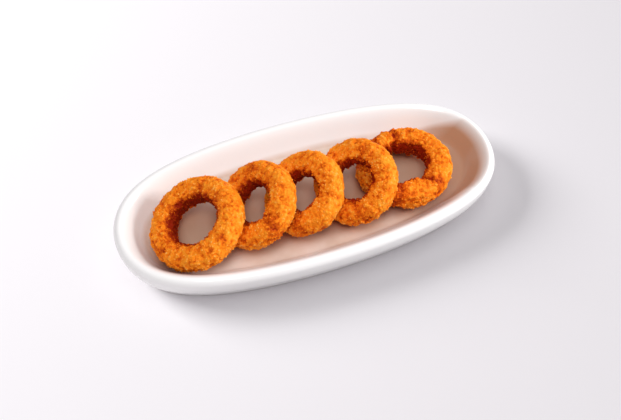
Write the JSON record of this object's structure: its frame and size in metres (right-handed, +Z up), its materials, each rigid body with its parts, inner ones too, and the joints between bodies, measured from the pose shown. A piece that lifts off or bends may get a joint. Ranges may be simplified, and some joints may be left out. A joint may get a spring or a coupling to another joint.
{
  "type": "plated side of onion rings",
  "caption": "Shallow oval porcelain dish with thick breaded onion rings leaning on each other in a row, served as a side.",
  "frame": {"origin": "centre of the dish's footprint, on the surface it stands on", "axes": "+X along the dish's long side, towards the flattest ring; +Y across it; +Z up"},
  "size_m": [0.26, 0.1184, 0.048],
  "materials": {
    "porcelain": "white porcelain under a clear gloss glaze",
    "crust_ring_1": null,
    "crust_ring_2": null,
    "crust_ring_3": null,
    "crust_ring_4": null,
    "crust_ring_5": null
  },
  "bodies": {
    "root": {"dish": "porcelain", "ring_1": "crust_ring_1", "ring_2": "crust_ring_2", "ring_3": "crust_ring_3", "ring_4": "crust_ring_4", "ring_5": "crust_ring_5"}
  },
  "joints": []
}
